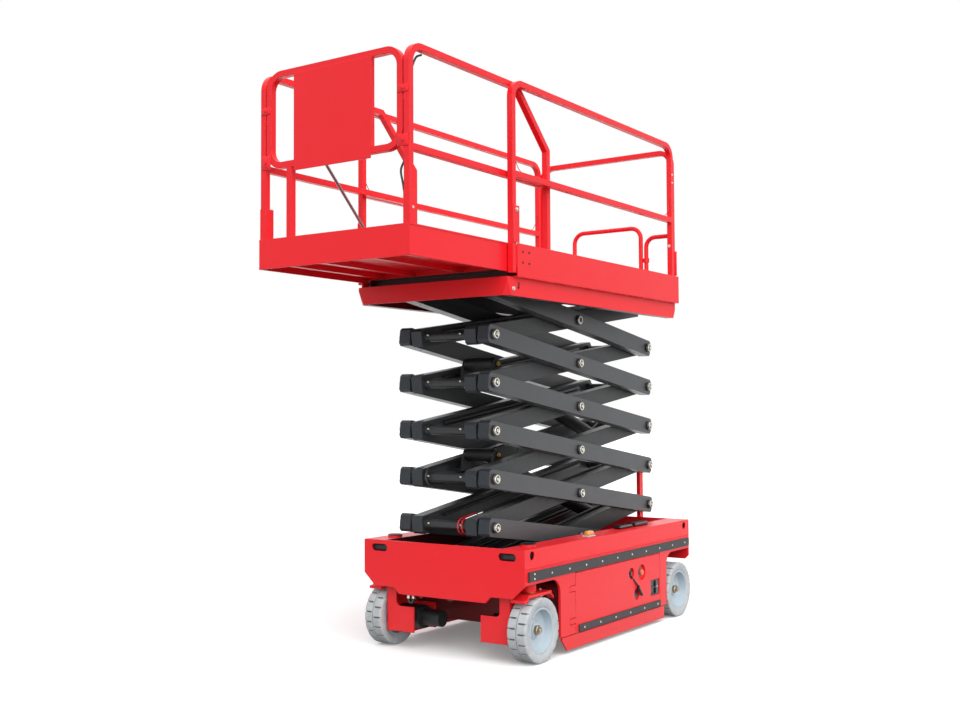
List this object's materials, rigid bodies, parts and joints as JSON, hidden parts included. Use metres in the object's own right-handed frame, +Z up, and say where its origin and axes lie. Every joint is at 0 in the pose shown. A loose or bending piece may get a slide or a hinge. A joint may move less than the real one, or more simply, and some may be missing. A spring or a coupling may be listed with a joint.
{
  "type": "electric scissor lift",
  "caption": "red slab scissor lift, partly raised, with stacked grey arms, guard rails and a roll-out deck extension",
  "frame": {"origin": "on the floor under the middle of the bounding box", "axes": "+X to the steered front end and the extension, +Y to the machine's left, +Z up"},
  "size_m": [3.262, 1.214, 3.3951],
  "materials": {
    "red_paint": "semi-gloss enamel",
    "grey_paint": "satin enamel",
    "rim_paint": "satin enamel",
    "black_paint": "satin enamel",
    "zinc_steel": "zinc plated",
    "hard_chrome": "ground chrome",
    "black_plastic": "textured",
    "red_sheath": "smooth cable sheath",
    "grey_rubber": "non-marking rubber"
  },
  "bodies": {
    "chassis": {"end_plates": "red_paint", "side_beams": "red_paint", "chassis_tub": "red_paint", "side_skirts": "red_paint", "energy_blocks": "black_paint", "rub_strips": "black_plastic", "rear_ladder": "red_paint"},
    "left_door": {"left_door": "red_paint"},
    "right_door": {"right_door": "red_paint"},
    "left_guard": {"left_guard": "red_paint"},
    "right_guard": {"right_guard": "red_paint"},
    "left_yoke": {"left_yoke": "red_paint", "left_motor": "black_paint"},
    "right_yoke": {"right_yoke": "red_paint", "right_motor": "black_paint"},
    "tie_rod": {"tie_rod": "zinc_steel"},
    "wheel_front_left": {"tyre_front_left": "grey_rubber", "rim_front_left": "rim_paint"},
    "wheel_front_right": {"tyre_front_right": "grey_rubber", "rim_front_right": "rim_paint"},
    "wheel_rear_left": {"tyre_rear_left": "grey_rubber", "rim_rear_left": "rim_paint"},
    "wheel_rear_right": {"tyre_rear_right": "grey_rubber", "rim_rear_right": "rim_paint"},
    "inner_0": {"inner_arms_0": "grey_paint", "pins_0": "zinc_steel"},
    "outer_0": {"outer_arms_0": "grey_paint"},
    "inner_1": {"inner_arms_1": "grey_paint", "pins_1": "zinc_steel", "red_cable": "red_sheath"},
    "outer_1": {"outer_arms_1": "grey_paint"},
    "inner_2": {"inner_arms_2": "grey_paint", "pins_2": "zinc_steel", "black_hose": "black_plastic"},
    "outer_2": {"outer_arms_2": "grey_paint"},
    "inner_3": {"inner_arms_3": "grey_paint", "pins_3": "zinc_steel"},
    "outer_3": {"outer_arms_3": "grey_paint"},
    "inner_4": {"inner_arms_4": "grey_paint", "pins_4": "zinc_steel"},
    "outer_4": {"outer_arms_4": "grey_paint"},
    "inner_5": {"inner_arms_5": "grey_paint", "pins_5": "zinc_steel"},
    "outer_5": {"outer_arms_5": "grey_paint"},
    "lower_barrel": {"lower_barrel": "black_paint"},
    "lower_rod": {"lower_rod": "hard_chrome"},
    "upper_barrel": {"upper_barrel": "black_paint"},
    "upper_rod": {"upper_rod": "hard_chrome"},
    "lower_slides": {"lower_slides": "zinc_steel"},
    "upper_slides": {"upper_slides": "zinc_steel"},
    "platform": {"main_deck": "red_paint", "deck_sides": "red_paint", "main_rails": "red_paint", "rear_rail": "red_paint"},
    "extension": {"extension_deck": "red_paint", "extension_rails": "red_paint", "front_gate": "red_paint", "front_panel": "red_paint", "rail_brace": "zinc_steel"},
    "entry_gate": {"entry_gate": "red_paint"}
  },
  "joints": [
    {"name": "lift", "type": "hinge", "parent": "chassis", "child": "inner_0", "pos_m": [0.565, 0, 0.496], "axis": [0, 1, 0], "range_deg": [-4.75, 56.95]},
    {"name": "stage_1", "type": "hinge", "parent": "inner_0", "child": "outer_1", "pos_m": [-1.46084, 0, 0.78252], "axis": [0, 1, 0], "range_deg": [-114.4, 10]},
    {"name": "stage_2", "type": "hinge", "parent": "outer_1", "child": "inner_2", "pos_m": [0.565, 0, 1.06903], "axis": [0, 1, 0], "range_deg": [-10, 114.4]},
    {"name": "stage_3", "type": "hinge", "parent": "inner_2", "child": "outer_3", "pos_m": [-1.46084, 0, 1.35555], "axis": [0, 1, 0], "range_deg": [-114.4, 10]},
    {"name": "stage_4", "type": "hinge", "parent": "outer_3", "child": "inner_4", "pos_m": [0.565, 0, 1.64207], "axis": [0, 1, 0], "range_deg": [-10, 114.4]},
    {"name": "stage_5", "type": "hinge", "parent": "inner_4", "child": "outer_5", "pos_m": [-1.46084, 0, 1.92858], "axis": [0, 1, 0], "range_deg": [-114.4, 10]},
    {"name": "cross_0", "type": "hinge", "parent": "inner_0", "child": "outer_0", "pos_m": [-0.44792, 0, 0.63926], "axis": [0, 1, 0], "range_deg": [-114.4, 10]},
    {"name": "cross_1", "type": "hinge", "parent": "outer_1", "child": "inner_1", "pos_m": [-0.44792, 0, 0.92577], "axis": [0, 1, 0], "range_deg": [-10, 114.4]},
    {"name": "cross_2", "type": "hinge", "parent": "inner_2", "child": "outer_2", "pos_m": [-0.44792, 0, 1.21229], "axis": [0, 1, 0], "range_deg": [-114.4, 10]},
    {"name": "cross_3", "type": "hinge", "parent": "outer_3", "child": "inner_3", "pos_m": [-0.44792, 0, 1.49881], "axis": [0, 1, 0], "range_deg": [-10, 114.4]},
    {"name": "cross_4", "type": "hinge", "parent": "inner_4", "child": "outer_4", "pos_m": [-0.44792, 0, 1.78532], "axis": [0, 1, 0], "range_deg": [-114.4, 10]},
    {"name": "cross_5", "type": "hinge", "parent": "outer_5", "child": "inner_5", "pos_m": [-0.44792, 0, 2.07184], "axis": [0, 1, 0], "range_deg": [-10, 114.4]},
    {"name": "deck_pivot", "type": "hinge", "parent": "outer_5", "child": "platform", "pos_m": [0.565, 0, 2.2151], "axis": [0, 1, 0], "range_deg": [-5.25, 57.45]},
    {"name": "lower_slide_pivot", "type": "hinge", "parent": "outer_0", "child": "lower_slides", "pos_m": [-1.46084, 0, 0.496], "axis": [0, 1, 0], "range_deg": [-5.25, 57.45]},
    {"name": "upper_slide_pivot", "type": "hinge", "parent": "inner_5", "child": "upper_slides", "pos_m": [-1.46084, 0, 2.2151], "axis": [0, 1, 0], "range_deg": [-57.45, 5.25]},
    {"name": "lower_cylinder_pivot", "type": "hinge", "parent": "inner_0", "child": "lower_barrel", "pos_m": [-1.27121, 0, 0.6951], "axis": [0, 1, 0], "range_deg": [-111.7, 9.78]},
    {"name": "lower_cylinder", "type": "slide", "parent": "lower_barrel", "child": "lower_rod", "axis": [0.9474, 0, 0.32], "range_m": [-0.0835, 0.9795]},
    {"name": "upper_cylinder_pivot", "type": "hinge", "parent": "inner_2", "child": "upper_barrel", "pos_m": [-1.27121, 0, 1.26813], "axis": [0, 1, 0], "range_deg": [-111.7, 9.78]},
    {"name": "upper_cylinder", "type": "slide", "parent": "upper_barrel", "child": "upper_rod", "axis": [0.9474, 0, 0.32], "range_m": [-0.0835, 0.9795]},
    {"name": "extension", "type": "slide", "parent": "platform", "child": "extension", "axis": [1, 0, 0], "range_m": [-0.9, 0]},
    {"name": "entry_gate", "type": "hinge", "parent": "platform", "child": "entry_gate", "pos_m": [-1.456, 0.341, 2.6411], "axis": [0, 0, -1], "range_deg": [0, 90]},
    {"name": "left_door", "type": "hinge", "parent": "chassis", "child": "left_door", "pos_m": [0.13, 0.587, 0.3], "axis": [0, 0, -1], "range_deg": [0, 95]},
    {"name": "right_door", "type": "hinge", "parent": "chassis", "child": "right_door", "pos_m": [0.13, -0.587, 0.3], "axis": [0, 0, 1], "range_deg": [0, 95]},
    {"name": "left_guard", "type": "hinge", "parent": "chassis", "child": "left_guard", "pos_m": [-0.476, 0.567, 0.112], "axis": [-1, 0, 0], "range_deg": [0, 75]},
    {"name": "right_guard", "type": "hinge", "parent": "chassis", "child": "right_guard", "pos_m": [-0.476, -0.567, 0.112], "axis": [1, 0, 0], "range_deg": [-0.5, 75.5]},
    {"name": "steer", "type": "hinge", "parent": "chassis", "child": "left_yoke", "pos_m": [0.459, 0.5, 0.4], "axis": [0, 0, 1], "range_deg": [-40, 40]},
    {"name": "steer_right", "type": "hinge", "parent": "chassis", "child": "right_yoke", "pos_m": [0.459, -0.5, 0.4], "axis": [0, 0, 1], "range_deg": [-40.5, 40.5]},
    {"name": "tie_rod", "type": "hinge", "parent": "left_yoke", "child": "tie_rod", "pos_m": [0.329, 0.5, 0.377], "axis": [0, 0, 1], "range_deg": [-40.5, 40.5]},
    {"name": "wheel_front_left", "type": "hinge", "parent": "left_yoke", "child": "wheel_front_left", "pos_m": [0.459, 0.5315, 0.1905], "axis": [0, 1, 0], "continuous": true},
    {"name": "wheel_front_right", "type": "hinge", "parent": "right_yoke", "child": "wheel_front_right", "pos_m": [0.459, -0.5315, 0.1905], "axis": [0, 1, 0], "continuous": true},
    {"name": "wheel_rear_left", "type": "hinge", "parent": "chassis", "child": "wheel_rear_left", "pos_m": [-1.411, 0.5315, 0.1905], "axis": [0, 1, 0], "continuous": true},
    {"name": "wheel_rear_right", "type": "hinge", "parent": "chassis", "child": "wheel_rear_right", "pos_m": [-1.411, -0.5315, 0.1905], "axis": [0, 1, 0], "continuous": true}
  ],
  "couplings": [
    {"joint": "stage_1", "follows": "lift", "ratio": -2},
    {"joint": "stage_2", "follows": "lift", "ratio": 2},
    {"joint": "stage_3", "follows": "lift", "ratio": -2},
    {"joint": "stage_4", "follows": "lift", "ratio": 2},
    {"joint": "stage_5", "follows": "lift", "ratio": -2},
    {"joint": "cross_0", "follows": "lift", "ratio": -2},
    {"joint": "cross_1", "follows": "lift", "ratio": 2},
    {"joint": "cross_2", "follows": "lift", "ratio": -2},
    {"joint": "cross_3", "follows": "lift", "ratio": 2},
    {"joint": "cross_4", "follows": "lift", "ratio": -2},
    {"joint": "cross_5", "follows": "lift", "ratio": 2},
    {"joint": "deck_pivot", "follows": "lift", "ratio": 1},
    {"joint": "lower_slide_pivot", "follows": "lift", "ratio": 1},
    {"joint": "upper_slide_pivot", "follows": "lift", "ratio": -1},
    {"joint": "lower_cylinder_pivot", "follows": "lift", "ratio": -1.9527},
    {"joint": "lower_cylinder", "follows": "lift", "m_per_rad": 0.98343},
    {"joint": "upper_cylinder_pivot", "follows": "lift", "ratio": -1.9527},
    {"joint": "upper_cylinder", "follows": "lift", "m_per_rad": 0.98343},
    {"joint": "right_guard", "follows": "left_guard", "ratio": 1},
    {"joint": "steer_right", "follows": "steer", "ratio": 1},
    {"joint": "tie_rod", "follows": "steer", "ratio": -1}
  ]
}
